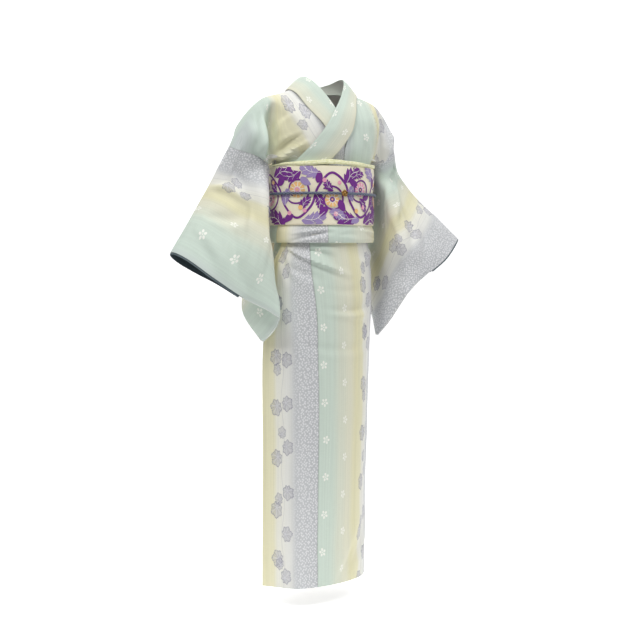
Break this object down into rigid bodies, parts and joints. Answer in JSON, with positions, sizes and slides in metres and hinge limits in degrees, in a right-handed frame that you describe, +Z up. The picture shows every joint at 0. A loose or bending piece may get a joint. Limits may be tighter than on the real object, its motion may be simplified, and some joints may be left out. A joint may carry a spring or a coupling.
{
  "type": "kimono with obi",
  "caption": "Worn kimono closed left over right, with wide square sleeves and a broad belt tied in a drum bow at the back.",
  "frame": {"origin": "midway between the two side-neck points, where the wearer's shoulders carry the garment", "axes": "+Z up along the garment's length, the wearer faces -Y, the wearer's left is +X"},
  "size_m": [0.8393, 0.3575, 1.291],
  "materials": {
    "cream": "matt slubbed silk",
    "mint": "matt slubbed silk",
    "gold": "brushed gold-brown metal",
    "slate": "matt lining silk",
    "violet": "stiff woven belt silk with a soft sheen",
    "slate_cord": "braided silk cord",
    "yellow": "matt slubbed silk",
    "lavender": "matt slubbed silk"
  },
  "bodies": {
    "root": {"body_left": "cream", "body_right": "cream", "collar": "mint", "cord_ornament": "gold", "cuff_lining_left": "slate", "cuff_lining_right": "slate", "obi_band": "violet", "obi_cord": "slate_cord", "obi_drum": "violet", "obi_hand": "violet", "obi_sash": "yellow", "obi_tail": "violet", "overlap_left_upper": "lavender", "skirt_back_left": "cream", "skirt_back_right": "cream", "skirt_front_left": "mint", "skirt_front_right": "yellow", "skirt_overlap_left": "lavender", "skirt_overlap_right": "lavender", "sleeve_left": "mint", "sleeve_right": "mint", "tuck_back": "cream", "tuck_front": "mint", "tuck_overlap": "lavender"}
  },
  "joints": []
}
